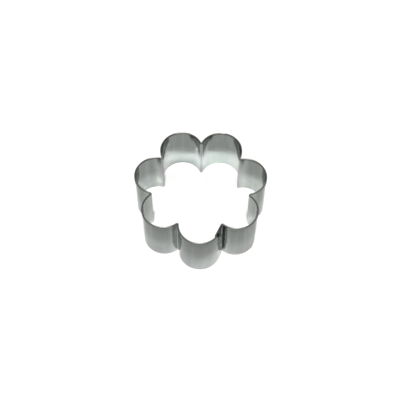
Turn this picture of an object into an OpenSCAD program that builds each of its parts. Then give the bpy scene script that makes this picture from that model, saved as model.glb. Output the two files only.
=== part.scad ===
// Open flower cutter for biscuits and pastry: one strip of tin-plated sheet with a hemmed
// top edge, bent into round petals and closed by a spot-welded lap beside the front petal.
// Millimetres, +Z up. The cutting edge lies on Z = 0, and the front petal points along -Y.

/* [Flower outline] */
// Number of petals
petals = 7; // [5:1:9]
// Width across the flower at the cutting edge, over the outer faces
flower_w = 60; // [45:1:110]
// Angle that the strip turns through along one petal, in degrees
petal_turn = 179; // [165:1:190]
// Inside radius of the sharp bend between two petals
bend_r = 0.45; // [0.45:0.05:1.2]

/* [Strip] */
// Height from the cutting edge to the top of the hem
cutter_h = 25; // [20:1:60]
// Thickness of the sheet
sheet_t = 0.35; // [0.25:0.01:0.4]
// How much thinner each face is where the sheet is bent sharply or pressed flat
thinning = 0.01; // [0.01:0.005:0.02]
// Height of the hem, the safe edge that is folded outwards and down
hem_h = 2.6; // [1.5:0.1:4]

/* [Lap seam] */
// Length of the flat tongue that runs inside the front petal
tongue_l = 6.2; // [5.5:0.1:7.5]
// Free space between the tongue's hem and the outer layer
lap_clear = 0.2; // [0.1:0.05:0.4]
// Distance along the lap from the bend's centre to the end of the outer layer
end_gap = 1; // [0.8:0.1:1.4]
// Free space under the tongue's hem where the outer layer is cut away
notch_clear = 0.1; // [0.05:0.05:0.4]
// Width of the clipped corner at the end of the outer layer
clip_w = 2.6; // [0.5:0.1:2.8]
// Height of the clipped corner
clip_h = 3.6; // [0.5:0.1:4.5]

/* [Spot welds] */
// Diameter of a weld nugget
weld_d = 2.2; // [1.5:0.1:2.6]
// Height of the lowest weld above the cutting edge
weld_z = 4.5; // [2.5:0.5:6]
// Distance from the lower edge of the hem down to the highest weld
weld_drop = 4.9; // [4:0.1:6]
// Depth of the electrode's mark on each face
weld_dimple = 0.06; // [0.02:0.01:0.1]

/* [Hidden] */

// Smoothness of the petals, and of the bends, folds and welds
petal_fn = 180;
fine_fn = 64;

// Half of a petal's turn, and half of the angle from one petal to the next
half_turn = petal_turn / 2;
half_step = 180 / petals;
front_dir = -90;

// The strip's mid-surface: radius of a bend, of a petal, and of the ring of petal centres.
// A petal meets a bend where their circles touch, so their centres lie mid_sum apart.
bend_mid = bend_r + sheet_t / 2;
reach = sin(half_turn) / tan(half_step) - cos(half_turn);
side_reach = reach * max([for (k = [0 : petals - 1]) sin(2 * half_step * k)]);
petal_mid = (flower_w / 2 - sheet_t / 2 - bend_mid * side_reach) / (1 + side_reach);
mid_sum = petal_mid + bend_mid;
ring_r = mid_sum * reach;
bend_ring_r = mid_sum * sin(half_turn) / sin(half_step);
bend_half_turn = half_turn - half_step;

// The flower's centre lies behind the middle of its outline, which is the origin
back_reach = ring_r * max([for (k = [0 : petals - 1]) -cos(2 * half_step * k)]);
centre_y = (ring_r - back_reach) / 2;

// The flattened lap. Seen from the front petal's centre, lap_dir is square to the lap, and
// y_bend is where the seam's bend lies along it.
lap_step = 2 * sheet_t + lap_clear;
lap_lean = 180 - asin(1 - lap_step / mid_sum) - half_turn;
lap_dir = 90 - lap_lean;
tongue_x = petal_mid - lap_step;
y_bend = -mid_sum * cos(half_turn + lap_lean);
y_outer_end = y_bend - end_gap;
y_tongue_end = y_bend - tongue_l;

// The outer layer's hem stops where the tongue ends
low_h = cutter_h - hem_h - notch_clear;
notch_dir = lap_dir - asin((notch_clear - y_tongue_end) / petal_mid);

// The welds stand one above another, evenly spaced
welds = 3;
weld_pitch = (cutter_h - hem_h - weld_drop - weld_z) / (welds - 1);

// A thinned stretch runs this far into its full-thickness neighbours: degrees, millimetres
bend_overlap = 6;
flat_overlap = 0.15;

// Cutters reach this far past what they cut
over = 1;

// Section of the strip with its wall centred on x = r and its hem towards side * x.
// Each outer face lies inset further in than on sheet of full thickness, and so does the
// hem's lower edge.
module strip_section(r, side, inset = 0) {
    width = 2 * (sheet_t - inset);
    fold_x = r + side * sheet_t / 2;
    translate([r - sheet_t / 2 + inset, 0])
        square([sheet_t - 2 * inset, cutter_h - sheet_t]);
    translate([fold_x - width / 2, cutter_h - hem_h + inset])
        square([width, hem_h - sheet_t - inset]);
    translate([fold_x, cutter_h - sheet_t])
        circle(d = width, $fn = fine_fn);
}

// Turns a section about the Z axis from one angle to another
module sweep(from, to, fn) {
    rotate([0, 0, from])
        rotate_extrude(angle = to - from, $fn = fn)
            children();
}

// Puts children at the centre of petal k, with +X pointing outwards
module at_petal(k) {
    rotate([0, 0, front_dir + 2 * half_step * k])
        translate([ring_r, 0, 0])
            children();
}

// Puts children at the centre of the bend after petal k, with +X towards the flower's centre
module at_bend(k) {
    rotate([0, 0, front_dir + half_step * (2 * k + 1)])
        translate([bend_ring_r, 0, 0])
            rotate([0, 0, 180])
                children();
}

// Puts children at the front petal's centre, with +X square to the lap and +Y along it
module at_lap() {
    at_petal(0)
        rotate([0, 0, lap_dir])
            children();
}

// Extrudes a section along the lap from one place to another
module run(from, to) {
    translate([0, to, 0])
        rotate([90, 0, 0])
            linear_extrude(height = to - from)
                children();
}

module tongue() {
    at_lap()
        run(y_tongue_end, y_bend)
            strip_section(tongue_x, 1);
}

// Arc of the front petal, with its hem cut away where the tongue runs behind it
module front_petal() {
    at_petal(0)
        difference() {
            sweep(-half_turn, lap_dir, petal_fn)
                strip_section(petal_mid, 1);
            sweep(notch_dir, lap_dir + over, petal_fn)
                translate([petal_mid - over, low_h])
                    square([2 * over + sheet_t, hem_h + over]);
        }
}

// End of the outer layer, straight over the lap, with its top corner clipped
module outer_end() {
    at_lap()
        translate([petal_mid - sheet_t / 2 + thinning, 0, 0])
            rotate([90, 0, 90])
                linear_extrude(height = sheet_t - 2 * thinning)
                    polygon([
                        [-flat_overlap, 0],
                        [y_outer_end, 0],
                        [y_outer_end, low_h - clip_h],
                        [y_outer_end - clip_w, low_h],
                        [-flat_overlap, low_h]
                    ]);
}

// Sharp bend after petal k, ending at an angle from the flower's centre
module bend(k, end) {
    at_bend(k)
        sweep(-bend_half_turn - bend_overlap, end + bend_overlap, fine_fn)
            strip_section(bend_mid, -1, thinning);
}

module weld_at(i, from, to) {
    at_lap()
        translate([from, y_bend - (end_gap + tongue_l) / 2, weld_z + weld_pitch * i])
            rotate([0, 90, 0])
                cylinder(d = weld_d, h = to - from, $fn = fine_fn);
}

module strip() {
    for (k = [1 : petals - 1])
        at_petal(k)
            sweep(-half_turn, half_turn, petal_fn)
                strip_section(petal_mid, 1);
    for (k = [1 : petals - 1])
        bend(k, bend_half_turn);
    bend(0, lap_dir - half_step);
    front_petal();
    tongue();
    outer_end();
}

// The whole strip, with a round seat for each weld
module cutter_band() {
    color("gainsboro")
        translate([0, centre_y, 0])
            difference() {
                strip();
                for (i = [0 : welds - 1])
                    weld_at(i, tongue_x - over, petal_mid + over);
            }
}

// One weld nugget through both layers, sunk a little into each face
module spot_weld(i) {
    color("darkgray")
        translate([0, centre_y, 0])
            weld_at(i, tongue_x - sheet_t / 2 + weld_dimple, petal_mid + sheet_t / 2 - weld_dimple);
}

cutter_band();
spot_weld(0);  // spot_weld_bottom
spot_weld(1);  // spot_weld_middle
spot_weld(2);  // spot_weld_top
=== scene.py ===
"""Flower cutter for biscuits and pastry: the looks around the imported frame.

The strip of tinplate, its folded hem and the pressed spot welds are surfaces worked out with
numpy, in metres, in the frame's own coordinates: +Z up from the cutting edge, -Y to the front.
"""

import math
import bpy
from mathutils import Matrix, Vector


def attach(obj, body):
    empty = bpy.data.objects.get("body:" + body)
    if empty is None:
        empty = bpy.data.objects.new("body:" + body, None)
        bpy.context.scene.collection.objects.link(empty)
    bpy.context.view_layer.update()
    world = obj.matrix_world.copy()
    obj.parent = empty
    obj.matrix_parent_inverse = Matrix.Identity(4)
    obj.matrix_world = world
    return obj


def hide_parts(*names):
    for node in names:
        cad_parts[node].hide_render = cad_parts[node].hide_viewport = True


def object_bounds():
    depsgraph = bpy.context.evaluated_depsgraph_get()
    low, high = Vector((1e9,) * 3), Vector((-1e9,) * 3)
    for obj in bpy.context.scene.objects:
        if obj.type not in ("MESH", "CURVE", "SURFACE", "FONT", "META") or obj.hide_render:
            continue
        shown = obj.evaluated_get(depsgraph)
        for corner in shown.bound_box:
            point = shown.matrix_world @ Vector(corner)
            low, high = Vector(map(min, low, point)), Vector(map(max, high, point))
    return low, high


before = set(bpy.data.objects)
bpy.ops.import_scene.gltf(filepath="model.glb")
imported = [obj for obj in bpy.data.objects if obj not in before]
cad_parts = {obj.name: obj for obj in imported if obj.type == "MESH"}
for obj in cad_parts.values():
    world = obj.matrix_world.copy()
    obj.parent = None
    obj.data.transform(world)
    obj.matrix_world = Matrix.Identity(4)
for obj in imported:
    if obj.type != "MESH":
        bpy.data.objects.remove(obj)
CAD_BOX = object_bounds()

from types import SimpleNamespace

import bpy
import numpy as np
from bpy.props import FloatProperty, FloatVectorProperty, IntProperty, PointerProperty
from mathutils import Matrix, Vector

bl_info = {
    "name": "Flower cutter",
    "version": (1, 0, 0),
    "blender": (4, 5, 0),
    "location": "3D View > Sidebar > Flower cutter",
    "description": "Hemmed tinplate flower cutter with a spot-welded lap",
    "category": "Object",
}

CAD_LOW, CAD_HIGH = CAD_BOX
MM = 0.001

# Places of the spot welds, from the lowest up
WELD_PLACES = ("bottom", "middle", "top")

# Points along the strip's line: on the tongue, a bend and a petal, on the front petal up to the
# notch and past it, and on the outer end
TONGUE_POINTS, BEND_POINTS, PETAL_POINTS = 29, 19, 61
FRONT_POINTS, NOTCH_POINTS, END_POINTS = 49, 13, 15

# Rows up the wall: even ones, and close ones as far as WELD_REACH from each weld. No even row
# lies within WELD_CLEAR of a weld.
EVEN_ROWS, WELD_ROWS = 26, 13
WELD_REACH, WELD_CLEAR = 1.8 * MM, 2.2 * MM

# Rows of the inner face between the top of the low section and the fold, and rows of the
# flap's face
INNER_ROWS_ABOVE, FLAP_ROWS = 6, 4

# Points round the fold, and round each rounded edge
FOLD_POINTS, EDGE_POINTS = 17, 4

# Points round a weld's print, and round the floor
PRINT_TURNS, FLOOR_TURNS = 48, 96

# What a point that isn't on the lap has as its distance from a weld
FAR_FROM_WELD = 1.0

# Where the camera aims, to the right of and above the flower's middle
AIM_OFFSET = (-0.2 * MM, -0.687 * MM)

# Width of the camera's sensor in millimetres, and the nearest and farthest that it sees
SENSOR_WIDTH = 36.0
SEEN_FROM, SEEN_TO = 0.01, 50.0

WHITE = (1.0, 1.0, 1.0, 1.0)


# ---------------------------------------------------------------- sizes and finishes

def length(name, description, default):
    """A size in metres, shown in the scene's unit."""
    return FloatProperty(
        name=name, description=description, default=default,
        min=0.0, precision=5, unit="LENGTH", subtype="DISTANCE",
    )


def share(name, description, default, top=1.0):
    """A plain number from nought up."""
    return FloatProperty(
        name=name, description=description, default=default, min=0.0, max=top, precision=3)


def colour(name, description, default):
    """A linear colour."""
    return FloatVectorProperty(
        name=name, description=description, default=default,
        size=3, min=0.0, max=1.0, subtype="COLOR",
    )


def degrees(name, description, default):
    """An angle, given in degrees and kept in radians."""
    return FloatProperty(
        name=name, description=description, default=math.radians(default), subtype="ANGLE",
        unit="ROTATION",
    )


class CutterOutline(bpy.types.PropertyGroup):
    """Sizes of the flower, seen from above."""

    petals: IntProperty(name="Petals", description="Number of petals", default=7, min=5, max=9)
    width: length("Width", "Width of the flower at the cutting edge", 60.0 * MM)
    petal_turn: degrees("Petal turn", "Angle that the strip turns through along a petal", 179.0)
    bend_radius: length("Bend radius", "Inside radius of the bends between petals", 0.45 * MM)


class CutterStrip(bpy.types.PropertyGroup):
    """Sizes of the strip's section."""

    height: length("Height", "Cutting edge to the top of the hem", CAD_HIGH.z - CAD_LOW.z)
    sheet: length("Sheet", "Thickness of the sheet", 0.35 * MM)
    hem: length("Hem", "Height of the folded edge", 2.6 * MM)
    crevice: length("Crevice", "Gap between the hem's flap and the wall", 0.03 * MM)
    crevice_depth: length("Crevice depth", "How far the gap goes up", 0.45 * MM)
    edge: length("Edge radius", "Rounding of the sheared edges", 0.06 * MM)
    wave: length("Wave", "How far the wall strays from its outline", 0.006 * MM)


class CutterLap(bpy.types.PropertyGroup):
    """Sizes of the lap seam beside the front petal."""

    tongue: length("Tongue", "Length of the flat inner layer", 6.2 * MM)
    clearance: length("Clearance", "Gap between the tongue's hem and the outer layer", 0.2 * MM)
    end_gap: length("End gap", "From the bend to the end of the outer layer", 1.0 * MM)
    notch: length("Notch", "Gap under the tongue's hem", 0.1 * MM)
    clip_width: length("Clip width", "Width of the clipped corner", 2.6 * MM)
    clip_height: length("Clip height", "Height of the clipped corner", 3.6 * MM)


class CutterWelds(bpy.types.PropertyGroup):
    """Sizes of the three spot welds."""

    nugget: length("Nugget", "Diameter of the electrode's print", 2.2 * MM)
    sunk: length("Sunk", "Depth of the print below the sheet", 0.06 * MM)
    dish: length("Dish", "Depth to which the sheet around is pressed", 0.07 * MM)
    dish_radius: length("Dish radius", "Radius at which the sheet is flat again", 2.0 * MM)
    low: length("Lowest weld", "Height of the lowest weld", 4.5 * MM)
    drop: length("Drop", "From the hem's lower edge to the highest weld", 4.9 * MM)


class CutterFinish(bpy.types.PropertyGroup):
    """Colours and surface of the tinplate."""

    tin_high: colour("Tin above", "Tinned sheet at the hem", (0.200, 0.211, 0.198))
    tin: colour("Tin", "Tinned sheet half way up", (0.248, 0.263, 0.248))
    tin_low: colour("Tin below", "Tinned sheet near the cutting edge", (0.350, 0.372, 0.362))
    # Painted reflection beside the bends; the same colour also gives random bright streaks.
    tin_bright: colour("Bright tin", "Painted reflection beside the bends, and bright streaks", (0.58, 0.61, 0.595))
    tin_dull: colour("Dull tin", "Stained and stretched places", (0.150, 0.158, 0.148))
    tin_fold: colour("Folded tin", "Fold of the hem", (0.24, 0.245, 0.23))
    # Painted shade: darkens the wall under the hem's lip and a band under the fold; it also
    # darkens the welds' pits.
    shade_and_pit_dark: colour("Painted shade and pits", "Painted shade under the hem and the fold, and weld pits", (0.05, 0.052, 0.045))
    lap_dark: colour("Dark lap", "Outer faces of the lap, darker above a slanting line", (0.07, 0.07, 0.055))
    weld: colour("Weld", "Print of the electrodes", (0.22, 0.215, 0.2))
    heat: colour("Heat tint", "Ring around a weld", (0.20, 0.165, 0.12))
    grazing: colour("Grazing tint", "Tint of the gloss at low angles", (0.75, 0.76, 0.745))
    roughness: share("Roughness", "Roughness of the rolled face", 0.12)
    fold_roughness: share("Fold roughness", "Roughness of the hem's fold", 0.32)
    grain: length("Grain", "Depth of the rolled grain", 0.004 * MM)


class CutterStage(bpy.types.PropertyGroup):
    """Floor, light and camera."""

    floor: colour("Floor", "Colour of the floor", (0.93, 0.93, 0.93))
    floor_radius: length("Floor radius", "Radius of the floor", 3.0)
    floor_lift: share("Floor lift", "Light that the floor adds for the camera", 0.10)
    sky_low: share("Horizon", "Strength of the surroundings at the horizon", 0.3)
    sky_room: share("Room", "Strength of the surroundings higher up", 0.08)
    sky_back: share("Backdrop", "Strength of the pale backdrop behind the object", 1.8, 4.0)
    lamp: share("Lamp", "Strength of the lamp", 2.8, 20.0)
    lamp_size: degrees("Lamp size", "Angle that the lamp fills", 3.5)
    lamp_height: degrees("Lamp height", "Angle of the lamp above the horizon", 78.8)
    lamp_turn: degrees("Lamp turn", "Angle of the lamp round from the front", 0.0)
    camera_height: degrees("Camera height", "Angle of the camera above the horizon", 58.74)
    camera_turn: degrees("Camera turn", "Angle of the camera round from the front", 0.807)
    camera_roll: degrees("Camera roll", "Tilt of the picture", 0.165)
    camera_distance: length("Camera distance", "From the middle of the flower", 452.0 * MM)
    camera_lens: share("Lens", "Focal length in millimetres", 87.64, 500.0)


GROUPS = {
    "cutter_outline": CutterOutline,
    "cutter_strip": CutterStrip,
    "cutter_lap": CutterLap,
    "cutter_welds": CutterWelds,
    "cutter_finish": CutterFinish,
    "cutter_stage": CutterStage,
}


# ---------------------------------------------------------------- plan of the strip

def unit(angle):
    """Points of the unit circle at an angle in radians, (cos a, sin a)."""
    return np.stack([np.cos(angle), np.sin(angle)], axis=-1)


def circle_angles(count):
    """Even angles once round a circle, in radians."""
    return np.linspace(0, 2 * math.pi, count + 1)[:-1]


def strip_plan(scene):
    """Centres, radii and angles of the strip's middle line, from the same sizes and sums as the
    solids: each petal touches the next bend, and the lap is straight."""
    o, s, l, w = (
        scene.cutter_outline, scene.cutter_strip, scene.cutter_lap, scene.cutter_welds)
    half_turn, half_step = o.petal_turn / 2, math.pi / o.petals
    bend = o.bend_radius + s.sheet / 2
    reach = math.sin(half_turn) / math.tan(half_step) - math.cos(half_turn)
    turns = 2 * half_step * np.arange(o.petals)
    side = reach * np.sin(turns).max()
    petal = (o.width / 2 - s.sheet / 2 - bend * side) / (1 + side)
    both = petal + bend
    ring = both * reach
    centre_y = (ring - ring * (-np.cos(turns)).max()) / 2
    step = 2 * s.sheet + l.clearance
    lean = math.pi - math.asin(1 - step / both) - half_turn
    lap_turn = math.pi / 2 - lean
    y_bend = -both * math.cos(half_turn + lean)
    y_tongue = y_bend - l.tongue
    low_top = s.height - s.hem - l.notch
    front = -math.pi / 2
    middle = np.array([0.0, centre_y])
    petal_centres = middle + ring * unit(front + turns)
    bend_ring = both * math.sin(half_turn) / math.sin(half_step)
    bend_centres = middle + bend_ring * unit(front + half_step + turns)
    weld_z = np.linspace(w.low, s.height - s.hem - w.drop, len(WELD_PLACES))
    return SimpleNamespace(
        petals=o.petals, half_turn=half_turn, half_step=half_step, bend=bend, petal=petal,
        front=front, lap_turn=lap_turn, tongue_x=petal - step, y_bend=y_bend,
        y_end=y_bend - l.end_gap, y_tongue=y_tongue, low_top=low_top,
        notch_turn=lap_turn - math.asin((l.notch - y_tongue) / petal),
        petal_centres=petal_centres, bend_centres=bend_centres, centre_y=centre_y,
        lap_origin=petal_centres[0], lap_out=unit(front + lap_turn),
        lap_along=unit(front + lap_turn + math.pi / 2),
        weld_y=y_bend - (l.end_gap + l.tongue) / 2, weld_z=weld_z,
    )


def arc(centre, radius, start, end, count, outwards):
    """Points c + r (cos a, sin a) at even angles, with normals (cos a, sin a) times outwards."""
    ray = unit(np.linspace(start, end, count))
    return centre + radius * ray, outwards * ray


def straight(plan, x, start, end, count):
    """Points of the lap's frame at one x and even y, with the lap's normal."""
    y = np.linspace(start, end, count)[:, None]
    points = plan.lap_origin + x * plan.lap_out + y * plan.lap_along
    return points, np.broadcast_to(plan.lap_out, points.shape)


def join_runs(runs):
    """One line from runs that meet end to start. The meeting point is kept once."""
    points = np.concatenate([runs[0][0]] + [p[1:] for p, n in runs[1:]])
    normals = np.concatenate([runs[0][1]] + [n[1:] for p, n in runs[1:]])
    return points, normals


def strip_line(plan):
    """Middle line of the strip from the tongue's end, round all petals, to the outer end, its
    outward normals, and the column at which the outer layer's hem stops."""
    half = plan.half_turn - plan.half_step
    runs = [straight(plan, plan.tongue_x, plan.y_tongue, plan.y_bend, TONGUE_POINTS)]
    for k in range(plan.petals):
        facing = plan.front + plan.half_step * (2 * k + 1) + math.pi
        start = plan.lap_turn - plan.half_step if k == 0 else half
        runs.append(arc(
            plan.bend_centres[k], plan.bend, facing + start, facing - half, BEND_POINTS, -1))
        if k < plan.petals - 1:
            towards = plan.front + 2 * plan.half_step * (k + 1)
            runs.append(arc(
                plan.petal_centres[k + 1], plan.petal,
                towards - plan.half_turn, towards + plan.half_turn, PETAL_POINTS, 1))
    centre, front = plan.petal_centres[0], plan.front
    runs.append(arc(
        centre, plan.petal, front - plan.half_turn, front + plan.notch_turn, FRONT_POINTS, 1))
    notch = sum(len(p) - 1 for p, n in runs)
    runs.append(arc(
        centre, plan.petal, front + plan.notch_turn, front + plan.lap_turn, NOTCH_POINTS, 1))
    runs.append(straight(plan, plan.petal, 0.0, plan.y_end, END_POINTS))
    points, normals = join_runs(runs)
    return points, normals, notch


# ---------------------------------------------------------------- section of the strip

def wall_rows(plan, strip):
    """Heights of the wall's rows: even steps, and close ones beside each weld."""
    close = [np.linspace(z - WELD_REACH, z + WELD_REACH, WELD_ROWS) for z in plan.weld_z]
    even = np.linspace(strip.edge, plan.low_top - strip.edge, EVEN_ROWS)
    keep = np.all([np.abs(even - z) > WELD_CLEAR for z in plan.weld_z], axis=0)
    return np.sort(np.concatenate([even[keep], *close]))


def turn_points(x, z, radius, start, end, count):
    """Points of a small arc in the section, (x + r cos a, z + r sin a), angles in degrees."""
    ray = radius * unit(np.radians(np.linspace(start, end, count)))
    return ray + [x, z]


def hem_section(plan, strip, rows):
    """Closed outline (offset, height) of the strip with its hem, from the inner face up, over
    the fold, down the flap, up and down the crevice and down the outer face. It also gives how
    many of its first and last points the low section shares."""
    t, top, edge, gap = strip.sheet, strip.height, strip.edge, strip.crevice
    flap, roof = top - strip.hem, top - strip.hem + strip.crevice_depth
    inner = np.stack([np.full_like(rows, -t / 2), rows], axis=-1)
    above = np.linspace(plan.low_top, top - t, INNER_ROWS_ABOVE + 1)[:-1]
    upper = np.stack([np.full_like(above, -t / 2), above], axis=-1)
    fold = turn_points(t / 2, top - t, t, 180, 0, FOLD_POINTS)
    down = np.linspace(top - t, flap + edge, FLAP_ROWS + 2)[1:-1]
    flap_face = np.stack([np.full_like(down, t * 1.5), down], axis=-1)
    lip = turn_points(t * 1.5 - edge, flap + edge, edge, 0, -90, EDGE_POINTS)
    back_lip = turn_points(t / 2 + gap + edge, flap + edge, edge, 270, 180, EDGE_POINTS)
    crevice = np.array([[t / 2 + gap, roof], [t / 2, roof], [t / 2, flap], [t / 2, plan.low_top]])
    outer = np.stack([np.full_like(rows, t / 2), rows[::-1]], axis=-1)
    foot = foot_points(strip)
    outline = np.concatenate([inner, upper, fold, flap_face, lip, back_lip, crevice, outer, foot])
    return outline, len(inner), len(outer) + len(foot)


def foot_points(strip):
    """The cutting edge, from the outer face to the inner one, with both corners rounded."""
    t, edge = strip.sheet, strip.edge
    right = turn_points(t / 2 - edge, edge, edge, 0, -90, EDGE_POINTS)[1:]
    left = turn_points(-t / 2 + edge, edge, edge, 270, 180, EDGE_POINTS)[:-1]
    return np.concatenate([right, left])


def low_edge(plan, strip):
    """Sheared top edge of the outer layer under the tongue's hem, between the two faces."""
    t, edge, top = strip.sheet, strip.edge, plan.low_top
    left = turn_points(-t / 2 + edge, top - edge, edge, 180, 90, EDGE_POINTS)[1:]
    right = turn_points(t / 2 - edge, top - edge, edge, 90, 0, EDGE_POINTS)[:-1]
    return np.concatenate([left, right])


# ---------------------------------------------------------------- the band's surface

def fall(distance, near, far):
    """1 up to near, 0 past far, and 3 t^2 - 2 t^3 between."""
    t = np.clip((far - distance) / (far - near), 0.0, 1.0)
    return t * t * (3 - 2 * t)


def wall_stray(along, height, strip):
    """How far the wall lies off its outline: a sum of slow sines along the strip, which grows
    from the stiff hem down to the free edge."""
    free = np.clip(1 - height / (strip.height - strip.hem), 0.0, 1.0)
    a, z = along / MM, height / MM
    waves = (
        np.sin(a * 0.61 + 0.9 * np.sin(a * 0.17)) * (0.35 + 0.65 * free)
        + 0.2 * np.sin(a * 1.37 + 2.1 + z * 0.07) * (0.25 + 0.75 * free)
        + 0.5 * np.sin(a * 0.29 + 4.0) * np.sin(z * 0.19 + a * 0.05)
    )
    return strip.wave * waves


def on_the_lap(plan, points):
    """Places of points of the plan in the lap's frame: out from it, and along it."""
    off = points - plan.lap_origin
    return off @ plan.lap_out, off @ plan.lap_along


def weld_distance(plan, points, heights):
    """Distance of each point of a grid from the nearest weld's axis, measured on the lap."""
    x, y = on_the_lap(plan, points)
    near_lap = x > plan.tongue_x - 1.5 * MM
    flat = np.hypot(
        (y - plan.weld_y)[:, None, None], heights[None, :, None] - plan.weld_z).min(axis=-1)
    return np.where(near_lap[:, None], flat, FAR_FROM_WELD)


def sweep_section(points, normals, section):
    """Grid (column, row) of points p + n * offset, at the section's heights."""
    offset = section[..., 0]
    if offset.ndim == 1:
        offset = offset[None, :]
    flat = points[:, None, :] + normals[:, None, :] * offset[..., None]
    height = np.broadcast_to(section[..., 1], flat.shape[:2])
    return np.concatenate([flat, height[..., None]], axis=-1)


def grid_faces(index, closed=True):
    """Quads between neighbouring columns and rows of an index grid; rows close on themselves."""
    after = np.roll(index, -1, axis=1) if closed else index[:, 1:]
    here = index if closed else index[:, :-1]
    quads = np.stack([here[:-1], here[1:], after[1:], after[:-1]], axis=-1)
    return quads.reshape(-1, 4)


def signed_volume(points, faces):
    """Six times the volume inside faces: the sum of p0 . (p1 x p2) over fans of triangles."""
    total = 0.0
    for face in faces:
        fan = points[list(face)]
        total += np.einsum("ij,ij->", np.cross(fan[1:-1], fan[2:]), np.broadcast_to(
            fan[0], fan[1:-1].shape))
    return total


def new_piece(name, points, faces, sharp=35.0):
    """A mesh object of points and faces, at the origin, smooth up to an angle in degrees."""
    mesh = bpy.data.meshes.new(name)
    mesh.from_pydata(points.tolist(), [], [list(map(int, f)) for f in faces])
    mesh.validate()
    mesh.polygons.foreach_set("use_smooth", np.ones(len(mesh.polygons), bool))
    mesh.set_sharp_from_angle(angle=math.radians(sharp))
    mesh.update()
    piece = bpy.data.objects.new(name, mesh)
    bpy.context.scene.collection.objects.link(piece)
    return piece


def point_value(piece, name, values):
    """Keeps one number per point on a piece, for its material."""
    layer = piece.data.attributes.new(name, "FLOAT", "POINT")
    layer.data.foreach_set("value", np.asarray(values, np.float32).ravel())


def running_length(points):
    """Length of a line up to each of its points."""
    return np.concatenate([[0.0], np.cumsum(np.linalg.norm(np.diff(points, axis=0), axis=1))])


def strip_band(scene):
    """The whole strip as one closed shell: the hemmed section carried along its line, the low
    outer end joined to it point by point at the notch, and a flat cap on each cut."""
    plan = strip_plan(scene)
    strip, lap, welds = scene.cutter_strip, scene.cutter_lap, scene.cutter_welds
    points, normals, notch = strip_line(plan)
    along = running_length(points)
    section, first, last = hem_section(plan, strip, wall_rows(plan, strip))
    edge_points = low_edge(plan, strip)
    low = np.concatenate([section[:first], edge_points, section[-last:]])

    def offsets(columns, outline, sign):
        """The outline's offsets on some columns, with the waves and the welds' dishes. A sign
        of 1 presses the sheet outwards, -1 inwards and 0 not at all."""
        stray = wall_stray(along[columns][:, None], outline[None, :, 1], strip)
        away = weld_distance(plan, points[columns], outline[:, 1])
        dish = welds.dish * fall(away, welds.nugget * 0.62, welds.dish_radius)
        return outline[None, :, 0] + stray + sign * dish, away

    columns = np.arange(notch + 1)
    tongue = np.where(along[columns] < lap.tongue + 0.5 * MM, 1.0, 0.0)[:, None]
    offset, away_full = offsets(columns, section, tongue)
    full = sweep_section(
        points[columns], normals[columns],
        np.stack([offset, np.broadcast_to(section[:, 1], offset.shape)], axis=-1))

    tail = np.arange(notch, len(points))
    offset, away_low = offsets(tail, low, -1.0)
    y = on_the_lap(plan, points[tail])[1]
    clip = np.clip((y - (plan.y_end - lap.clip_width)) / lap.clip_width, 0.0, 1.0)
    top = plan.low_top - lap.clip_height * clip
    height = low[None, :, 1] * (top / plan.low_top)[:, None]
    end = sweep_section(points[tail], normals[tail], np.stack([offset, height], axis=-1))

    count = full.shape[0] * full.shape[1]
    full_index = np.arange(count).reshape(full.shape[:2])
    low_index = np.empty(end.shape[:2], int)
    low_index[1:] = count + len(edge_points) + np.arange(
        (len(tail) - 1) * len(low)).reshape(len(tail) - 1, len(low))
    low_index[0] = np.concatenate([
        full_index[-1, :first], count + np.arange(len(edge_points)), full_index[-1, -last:]])
    middle = slice(first, first + len(edge_points))
    cloud = np.concatenate([full.reshape(-1, 3), end[0, middle], end[1:].reshape(-1, 3)])
    away = np.concatenate([away_full.ravel(), away_low[0, middle], away_low[1:].ravel()])

    upper = full_index[-1, first - 1:-last + 1]
    notch_cap = np.concatenate([upper, low_index[0, middle][::-1]])
    caps = [full_index[0], notch_cap[::-1], low_index[-1][::-1]]
    faces = [*grid_faces(full_index), *grid_faces(low_index), *caps]
    if signed_volume(cloud, faces) < 0:
        faces = [face[::-1] for face in faces]
    piece = new_piece("tinplate_band", cloud, faces)

    def per_point(full_values, low_values):
        """One value for each point of the shell, from those of the two sections' points."""
        return np.concatenate([
            np.tile(full_values, len(columns)), low_values[middle],
            np.tile(low_values, len(tail) - 1)])

    around = running_length(section)
    low_around = np.concatenate([around[:first], around[first - 1] + np.linspace(
        0.1 * MM, 0.3 * MM, len(edge_points)), around[-last:]])
    column = np.concatenate([
        np.repeat(columns, len(section)), np.full(len(edge_points), notch),
        np.repeat(tail[1:], len(low))])
    inner = (np.arange(len(section)) < first + INNER_ROWS_ABOVE).astype(float)
    inner_low = (np.arange(len(low)) < first).astype(float)
    inside = per_point(inner, inner_low)
    point_value(piece, "along", along[column])
    point_value(piece, "around", per_point(around, low_around))
    point_value(piece, "bent", bend_nearness(plan, points)[column])
    point_value(piece, "from_weld", away)
    point_value(piece, "inside", inside)
    # The pressed value is a painted reflection beside the bends.
    point_value(piece, "pressed", bend_reflection(plan, points)[column])
    point_value(piece, "lap_dark", (1 - inside) * lap_darkening(plan, points[column], cloud[:, 2] / MM))
    return piece


def bend_gaps(plan, points):
    """Distances of points of the plan from the centre of each bend."""
    return np.linalg.norm(points[:, None] - plan.bend_centres[None], axis=-1)


def bend_nearness(plan, points):
    """1 on the sharp bends, falling to 0 over 2.5 mm of sheet on either side."""
    return fall(bend_gaps(plan, points).min(axis=1), plan.bend * 1.05, plan.bend + 2.5 * MM)


def crease_line(plan, points):
    """1 on the line down the middle of each bend, falling to 0 at 0.45 mm from it."""
    facing = plan.front + plan.half_step * (2 * np.arange(plan.petals) + 1) + math.pi
    lines = plan.bend_centres + plan.bend * unit(facing)
    gap = np.linalg.norm(points[:, None] - lines[None], axis=-1).min(axis=1)
    return fall(gap, 0.1 * MM, 0.45 * MM)


def bend_reflection(plan, points):
    """How much painted reflection the sheet gets beside the bends, the same at each: 0.4 at a
    bend, falling to 0 at 5 mm, and less on the crease itself."""
    gap = bend_gaps(plan, points).min(axis=1)
    return 0.4 * fall(gap, 1.0 * MM, 5.0 * MM) * (1 - 0.6 * crease_line(plan, points))


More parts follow.
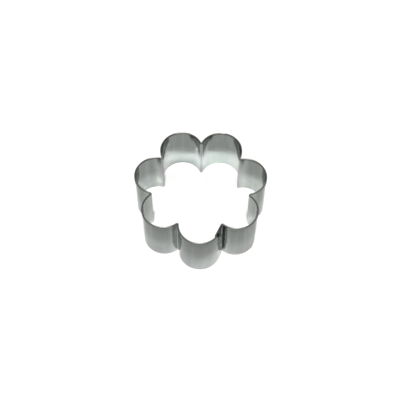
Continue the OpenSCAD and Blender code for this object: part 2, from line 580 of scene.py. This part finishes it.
def lap_darkening(plan, points, z):
    """Where the lap's outer faces are darker: above a line that falls from 21.6 mm at the
    tongue's end to 17 mm at the bend. Heights z are in millimetres."""
    x, y = on_the_lap(plan, points)
    u = (y - plan.y_tongue) / (plan.y_bend - plan.y_tongue)
    on_lap = (x > plan.tongue_x - 0.5 * MM) & (u > -0.02)
    line = 21.6 - 4.6 * u
    weaker = 1 - 0.6 * fall(u, 0.05, 0.3)
    return weaker * on_lap * (1 - fall(z, line - 0.3, line + 0.5)) * fall(u, 0.95, 1.1)


# ---------------------------------------------------------------- the welds' prints

def weld_print(name, scene, plan, height):
    """One nugget through both layers. Its outline is turned round the weld's axis: a dished
    face, a raised lip and a straight flank, the same at both ends. Places r along the face are
    shares of the nugget's radius, and depths d are in millimetres."""
    welds, strip = scene.cutter_welds, scene.cutter_strip
    radius, sunk = welds.nugget / 2, welds.sunk
    inner = plan.tongue_x - strip.sheet / 2 + sunk
    outer = plan.petal + strip.sheet / 2 - sunk
    r = np.array([0.06, 0.2, 0.38, 0.55, 0.7, 0.8, 0.87, 0.92, 0.96, 0.985, 1.0, 1.0])
    d = np.array([-0.036, -0.035, -0.033, -0.030, -0.024, -0.015, -0.004, 0.0, -0.002,
                  -0.012, -0.03, -0.075])
    profile_r = np.concatenate([r, r[::-1]]) * radius
    profile_x = np.concatenate([outer + d * MM, (inner - d * MM)[::-1]])
    turns = circle_angles(PRINT_TURNS)
    wobble = 1 + 0.02 * np.sin(3 * turns + height * 900) + 0.012 * np.sin(7 * turns)
    ring_y = profile_r[:, None] * (np.cos(turns) * wobble)[None]
    ring_z = profile_r[:, None] * (np.sin(turns) * wobble)[None]
    flat = (
        plan.lap_origin + plan.lap_out * profile_x[:, None, None]
        + plan.lap_along * (plan.weld_y + ring_y)[..., None])
    cloud = np.concatenate([flat, (height + ring_z)[..., None]], axis=-1).reshape(-1, 3)
    index = np.arange(len(cloud)).reshape(ring_y.shape)
    faces = [*grid_faces(index), index[0][::-1], index[-1]]
    if signed_volume(cloud, faces) < 0:
        faces = [face[::-1] for face in faces]
    return new_piece(name, cloud, faces, sharp=50.0)


# ---------------------------------------------------------------- shader sums

class Wire:
    """One output of a node tree. Python's signs on it add Math nodes."""

    def __init__(self, shader, output):
        self.shader, self.output = shader, output

    def sum(self, operation, first, second):
        """A Math node on two numbers or wires."""
        return self.shader.node("ShaderNodeMath", {0: first, 1: second}, operation=operation)

    def __add__(self, other):
        return self.sum("ADD", self, other)

    def __sub__(self, other):
        return self.sum("SUBTRACT", self, other)

    def __rsub__(self, other):
        return self.sum("SUBTRACT", other, self)

    def __mul__(self, other):
        return self.sum("MULTIPLY", self, other)

    def __truediv__(self, other):
        return self.sum("DIVIDE", self, other)

    __radd__, __rmul__ = __add__, __mul__

    def largest(self, other):
        return self.sum("MAXIMUM", self, other)

    def between(self, low, high):
        """0 below low, 1 above high. With low above high, the other way round."""
        if low > high:
            return 1 - self.between(high, low)
        return self.shader.node(
            "ShaderNodeMapRange", {0: self, 1: low, 2: high, 3: 0.0, 4: 1.0},
            interpolation_type="SMOOTHSTEP")


class Shader:
    """The nodes of a material or of the world."""

    def __init__(self, tree):
        self.tree = tree
        tree.nodes.clear()

    def node(self, kind, sockets=(), out=0, stops=None, **settings):
        """Adds a node: its settings first, then a value or a link for each named socket."""
        made = self.tree.nodes.new(kind)
        for name, value in settings.items():
            setattr(made, name, value)
        if stops:
            ramp = made.color_ramp.elements
            while len(ramp) < len(stops):
                ramp.new(1.0)
            for element, (place, tone) in zip(ramp, stops):
                element.position, element.color = place, (*tone[:3], 1.0)
        for name, value in dict(sockets).items():
            if isinstance(value, Wire):
                self.tree.links.new(value.output, made.inputs[name])
            else:
                made.inputs[name].default_value = value
        return Wire(self, made.outputs[out]) if made.outputs else made

    def blend(self, mask, under, over):
        """Colour under where the mask is 0, and over where it is 1."""
        under, over = (c if isinstance(c, Wire) else (*c, 1.0) for c in (under, over))
        return self.node("ShaderNodeMix", {0: mask, 6: under, 7: over}, 2, data_type="RGBA")

    def value_of(self, name):
        """A number kept per point on the piece."""
        return self.node("ShaderNodeAttribute", out="Fac", attribute_name=name)

    def place(self, x, y, z=0.0):
        """A vector of three numbers."""
        return self.node("ShaderNodeCombineXYZ", {0: x, 1: y, 2: z})

    def noise(self, place, scale, detail=3.0, rough=0.5):
        """Soft noise, about 0.5 on average."""
        return self.node("ShaderNodeTexNoise", {
            "Vector": place, "Scale": scale, "Detail": detail, "Roughness": rough})

    def surface(self, **sockets):
        """The metal's shader and the material's output."""
        named = {name.replace("_", " ").title(): value for name, value in sockets.items()}
        shader = self.node("ShaderNodeBsdfPrincipled", named)
        self.node("ShaderNodeOutputMaterial", {"Surface": shader})


def new_material(name):
    """A material with an empty node tree, and the shader that fills it."""
    material = bpy.data.materials.new(name)
    material.use_nodes = True
    return material, Shader(material.node_tree)


def tin_surface(finish, strip):
    """Rolled tinplate. Fine lines run along the strip. Painted shade darkens the sheet under the
    fold and under the hem, painted reflection brightens it beside the bends, it is tinted at the
    welds and darker on the lap, and it is paler towards the cutting edge, the same all round."""
    material, shader = new_material("rolled_tinplate")
    along, around = shader.value_of("along"), shader.value_of("around")
    bent, away = shader.value_of("bent"), shader.value_of("from_weld")
    inside = shader.value_of("inside")
    place = shader.node("ShaderNodeTexCoord", out="Object")
    height = shader.node("ShaderNodeSeparateXYZ", {0: place}, 2)

    lines = shader.noise(shader.place(along * 45, around * 2600), 1.0, 3.0, 0.6)
    fine = shader.noise(shader.place(along * 220, around * 9000, 3.1), 1.0, 2.0)
    streaks = shader.noise(shader.place(along * 330, around * 26, 7.7), 1.0, 3.0)
    cloud = shader.noise(place, 260.0, 4.0, 0.6)
    speck = shader.noise(place, 2600.0, 2.0)

    fold = height.between(strip.height - 0.6 * MM, strip.height - 0.3 * MM)
    level = height / strip.height
    outside = shader.node("ShaderNodeValToRGB", {"Fac": level}, stops=(
        (0.05, finish.tin_low), (0.32, finish.tin_low), (0.58, finish.tin),
        (0.90, finish.tin_high)))
    within = shader.node("ShaderNodeValToRGB", {"Fac": level}, stops=(
        (0.36, finish.tin_low), (0.58, finish.tin)))
    tone = shader.blend(inside, outside, within)
    # Painted reflection beside the bends, brightening the sheet there.
    pressed = shader.value_of("pressed") * (0.94 + 0.12 * lines)
    tone = shader.blend(pressed, tone, finish.tin_bright)
    tone = shader.blend(streaks.between(0.45, 0.8) * 0.18, tone, finish.tin_bright)
    tone = shader.blend(cloud.between(0.52, 0.75) * 0.2, tone, finish.tin_dull)
    tone = shader.blend(speck.between(0.66, 0.74) * 0.25, tone, finish.tin_dull)
    ring = away.between(1.15 * MM, 1.5 * MM) * away.between(3.0 * MM, 1.6 * MM)
    tone = shader.blend(ring * 0.2, tone, finish.heat)
    seat = away.between(1.35 * MM, 1.1 * MM)
    tone = shader.blend(seat * 0.3, tone, finish.tin_dull)
    # Painted shade under the hem's lower edge, on the outer faces.
    flap = strip.height - strip.hem
    crease = height.between(flap - 1.1 * MM, flap - 0.6 * MM) * height.between(
        flap + 0.32 * MM, flap + 0.12 * MM)
    tone = shader.blend(crease * (1 - inside) * 0.4, tone, finish.shade_and_pit_dark)
    # Painted shade: a dark band just under the fold, on both faces.
    foot = height.between(strip.height - 1.0 * MM, strip.height - 0.6 * MM)
    tone = shader.blend(foot * (0.7 + 0.3 * cloud), tone, finish.shade_and_pit_dark)
    tone = shader.blend(fold * (0.85 + 0.15 * cloud), tone, finish.tin_fold)
    # The lap's outer faces are darker above a slanting line.
    lap_dark = shader.value_of("lap_dark") * (0.65 + 0.5 * (streaks - 0.3))
    tone = shader.blend(lap_dark, tone, finish.lap_dark)

    rough = (
        finish.roughness + 0.07 * (lines - 0.5) + 0.06 * (cloud - 0.5)
        + 0.10 * bent + 0.12 * ring + (finish.fold_roughness - finish.roughness) * fold)
    relief = 0.55 * lines + 0.2 * fine + 0.25 * speck + 0.5 * bent * cloud
    bump = shader.node("ShaderNodeBump", {
        "Height": relief, "Strength": 1.0, "Distance": finish.grain})
    shader.surface(
        base_color=tone, metallic=1.0, roughness=rough, normal=bump,
        specular_tint=(*finish.grazing, 1.0))
    return material


def weld_surface(finish):
    """Print of the electrodes: dull pressed metal with turned rings and pits."""
    material, shader = new_material("electrode_print")
    place = shader.node("ShaderNodeTexCoord", out="Object")
    pits = shader.noise(place, 5200.0, 3.0, 0.65)
    cloud = shader.noise(place, 1200.0, 3.0)
    tone = shader.blend(cloud.between(0.35, 0.7) * 0.7, finish.weld, finish.tin_dull)
    tone = shader.blend(pits.between(0.56, 0.7) * 0.5, tone, finish.shade_and_pit_dark)
    bump = shader.node("ShaderNodeBump", {"Height": pits, "Strength": 1.0, "Distance": 0.015 * MM})
    shader.surface(
        base_color=tone, metallic=1.0, roughness=0.4 + 0.15 * (pits - 0.5), normal=bump)
    return material


def floor_surface(stage):
    """Matt pale floor. It adds a little light for the camera and for gloss, so that it shows
    white, and it keeps the shadow."""
    material, shader = new_material("pale_floor")
    place = shader.node("ShaderNodeTexCoord", out="Object")
    cloud = shader.noise(place, 3.0, 3.0)
    tone = shader.blend(cloud, stage.floor, tuple(c * 0.99 for c in stage.floor))
    seen = shader.node("ShaderNodeLightPath", out="Is Camera Ray")
    seen = seen.largest(shader.node("ShaderNodeLightPath", out="Is Glossy Ray"))
    seen = seen.largest(shader.node("ShaderNodeLightPath", out="Is Transmission Ray"))
    matt = shader.node("ShaderNodeBsdfDiffuse", {"Color": tone, "Roughness": 0.3})
    glow = shader.node("ShaderNodeEmission", {
        "Color": WHITE, "Strength": seen * stage.floor_lift})
    both = shader.node("ShaderNodeAddShader", {0: matt, 1: glow})
    shader.node("ShaderNodeOutputMaterial", {"Surface": both})
    return material


# ---------------------------------------------------------------- stage

def pale_floor(stage):
    """A flat disc of rings, at the height of the cutting edge."""
    radii = stage.floor_radius * np.array([0.01, 0.03, 0.08, 0.2, 0.45, 1.0])
    flat = radii[:, None, None] * unit(circle_angles(FLOOR_TURNS))[None]
    cloud = np.concatenate([flat, np.zeros(flat.shape[:2] + (1,))], axis=-1).reshape(-1, 3)
    index = np.arange(len(cloud)).reshape(flat.shape[:2])
    faces = [*grid_faces(index), index[0]]
    floor = new_piece("pale_floor", cloud, faces)
    floor.data.materials.append(floor_surface(stage))


def soft_surroundings(stage):
    """World light by direction: a pale backdrop behind, a dim room, and a pale horizon."""
    world = bpy.data.worlds.new("soft_room")
    world.use_nodes = True
    shader = Shader(world.node_tree)
    place = shader.node("ShaderNodeTexCoord", out="Generated")
    rise = shader.node("ShaderNodeSeparateXYZ", {0: place}, 2)
    away = shader.node("ShaderNodeSeparateXYZ", {0: place}, 1)
    aside = shader.node("ShaderNodeSeparateXYZ", {0: place}, 0)
    horizon = rise.between(0.22, 0.12)
    width = (aside * aside).between(0.30, 0.10)
    backdrop = rise.between(0.74, 0.62) * away.between(0.1, 0.3) * width
    ring = horizon * (stage.sky_low - stage.sky_room)
    strength = stage.sky_room + ring.largest(backdrop * (stage.sky_back - stage.sky_room))
    light = shader.node("ShaderNodeBackground", {"Color": WHITE, "Strength": strength})
    shader.node("ShaderNodeOutputWorld", {"Surface": light})
    bpy.context.scene.world = world


def overhead_lamp(stage):
    """A far lamp, given by its height above the horizon and its turn from the front."""
    data = bpy.data.lights.new("overhead_lamp", "SUN")
    data.energy, data.angle = stage.lamp, stage.lamp_size
    lamp = bpy.data.objects.new("overhead_lamp", data)
    h, a = stage.lamp_height, stage.lamp_turn
    towards = Vector((math.sin(a) * math.cos(h), -math.cos(a) * math.cos(h), math.sin(h)))
    lamp.location = towards
    lamp.rotation_mode = "QUATERNION"
    lamp.rotation_quaternion = towards.to_track_quat("Z", "Y")
    bpy.context.scene.collection.objects.link(lamp)


def photo_camera(stage, plan, height):
    """The camera at the photograph's angle. It aims a little off the flower's middle, which
    puts the flower where the photograph has it."""
    h, a, roll = stage.camera_height, stage.camera_turn, stage.camera_roll
    round_z = Matrix.Rotation(a, 3, "Z")
    back = Vector((0, -math.cos(h), math.sin(h)))
    right, up = Vector((1, 0, 0)), Vector((0, math.sin(h), math.cos(h)))
    rolled = [right * math.cos(roll) + up * math.sin(roll),
              up * math.cos(roll) - right * math.sin(roll)]
    middle = Vector((0, plan.centre_y, height / 2))
    place = middle + round_z @ (back * stage.camera_distance)
    aim = middle + round_z @ (rolled[0] * AIM_OFFSET[0] + rolled[1] * AIM_OFFSET[1])
    view = (place - aim).normalized()
    side = (round_z @ rolled[0]).normalized()
    upward = view.cross(side).normalized()
    side = upward.cross(view).normalized()
    data = bpy.data.cameras.new("photo_camera")
    data.lens, data.sensor_width = stage.camera_lens, SENSOR_WIDTH
    data.clip_start, data.clip_end = SEEN_FROM, SEEN_TO
    camera = bpy.data.objects.new("photo_camera", data)
    camera.matrix_world = Matrix.Translation(place) @ Matrix(
        (side, upward, view)).transposed().to_4x4()
    bpy.context.scene.collection.objects.link(camera)
    bpy.context.scene.camera = camera


# ---------------------------------------------------------------- operators

class CUTTER_OT_band(bpy.types.Operator):
    """Make the strip of tinplate, with its hem, petals and lap"""

    bl_idname = "cutter.band"
    bl_label = "Tinplate band"

    def execute(self, context):
        scene = context.scene
        piece = strip_band(scene)
        piece.data.materials.append(tin_surface(scene.cutter_finish, scene.cutter_strip))
        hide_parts("cutter_band")
        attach(piece, "root")
        return {"FINISHED"}


class CUTTER_OT_welds(bpy.types.Operator):
    """Make the three spot welds of the lap"""

    bl_idname = "cutter.welds"
    bl_label = "Spot welds"

    def execute(self, context):
        scene = context.scene
        plan = strip_plan(scene)
        surface = weld_surface(scene.cutter_finish)
        for place, height in zip(WELD_PLACES, plan.weld_z):
            piece = weld_print(f"weld_print_{place}", scene, plan, height)
            piece.data.materials.append(surface)
            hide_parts(f"spot_weld_{place}")
            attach(piece, "root")
        return {"FINISHED"}


class CUTTER_OT_stage(bpy.types.Operator):
    """Set up the floor, the light and the camera"""

    bl_idname = "cutter.stage"
    bl_label = "Floor, light and camera"

    def execute(self, context):
        scene = context.scene
        stage = scene.cutter_stage
        pale_floor(stage)
        soft_surroundings(stage)
        overhead_lamp(stage)
        photo_camera(stage, strip_plan(scene), scene.cutter_strip.height)
        scene.view_settings.view_transform = "Standard"
        scene.cycles.blur_glossy = 0.0
        scene.cycles.sample_clamp_indirect = 0.0
        return {"FINISHED"}


class CUTTER_PT_sidebar(bpy.types.Panel):
    """Sizes, finishes and the steps that make the cutter"""

    bl_label = "Flower cutter"
    bl_space_type = "VIEW_3D"
    bl_region_type = "UI"
    bl_category = "Flower cutter"

    def draw(self, context):
        layout = self.layout
        for group in GROUPS:
            box = layout.box()
            values = getattr(context.scene, group)
            for name in values.bl_rna.properties.keys():
                if name not in ("rna_type", "name"):
                    box.prop(values, name)
        for operator in OPERATORS:
            layout.operator(operator.bl_idname)


OPERATORS = (CUTTER_OT_band, CUTTER_OT_welds, CUTTER_OT_stage)
CLASSES = (*GROUPS.values(), *OPERATORS, CUTTER_PT_sidebar)


def register():
    for kind in CLASSES:
        bpy.utils.register_class(kind)
    for name, kind in GROUPS.items():
        setattr(bpy.types.Scene, name, PointerProperty(type=kind))


def unregister():
    for name in GROUPS:
        delattr(bpy.types.Scene, name)
    for kind in reversed(CLASSES):
        bpy.utils.unregister_class(kind)


def main():
    """Registers the add-on's classes, makes the pieces and the stage, and keeps the sizes."""
    register()
    bpy.ops.cutter.band()
    bpy.ops.cutter.welds()
    bpy.ops.cutter.stage()


if __name__ == "__main__":
    main()
